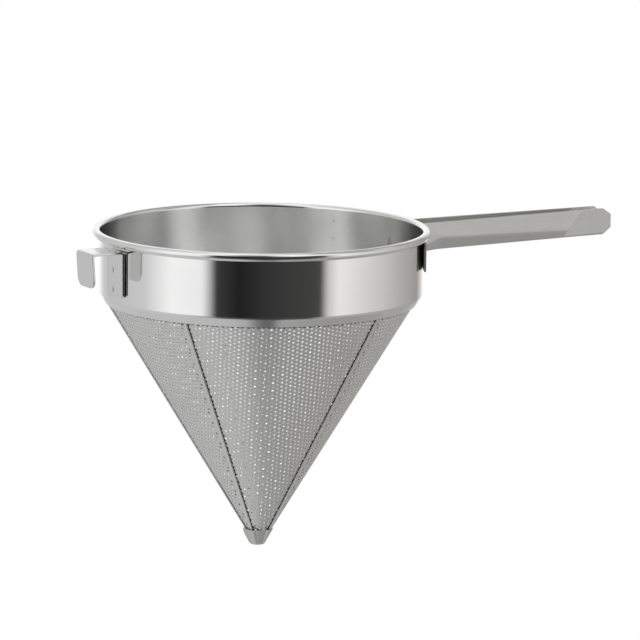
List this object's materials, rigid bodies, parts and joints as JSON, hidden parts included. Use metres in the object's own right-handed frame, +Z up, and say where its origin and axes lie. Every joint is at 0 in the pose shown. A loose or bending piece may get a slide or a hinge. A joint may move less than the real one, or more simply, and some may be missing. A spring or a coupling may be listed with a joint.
{
  "type": "chinois strainer",
  "caption": "Conical perforated steel strainer with a rolled rim collar, an open channel handle and a pot hook opposite it.",
  "frame": {"origin": "centre of the rim's top plane, on the cone's axis", "axes": "+Z up along the cone's axis, out of the open mouth; +X along the handle; the pot hook points along -X"},
  "size_m": [0.469, 0.261, 0.2503],
  "materials": {
    "polished_sheet": "polished stainless sheet",
    "wire": "drawn wire, hidden in the rolled rim",
    "perforated_sheet": "satin perforated stainless sheet",
    "tip_sheet": "satin pressed stainless sheet",
    "handle_sheet": "satin stainless sheet",
    "hook_sheet": "satin stainless strip",
    "welds": "spot-weld marks"
  },
  "bodies": {
    "root": {"collar": "polished_sheet", "rim_wire": "wire", "front_panel": "perforated_sheet", "left_panel": "perforated_sheet", "right_panel": "perforated_sheet", "back_left_panel": "perforated_sheet", "back_right_panel": "perforated_sheet", "tip_cap": "tip_sheet", "handle": "handle_sheet", "hook": "hook_sheet", "handle_welds": "welds", "hook_welds": "welds"}
  },
  "joints": []
}
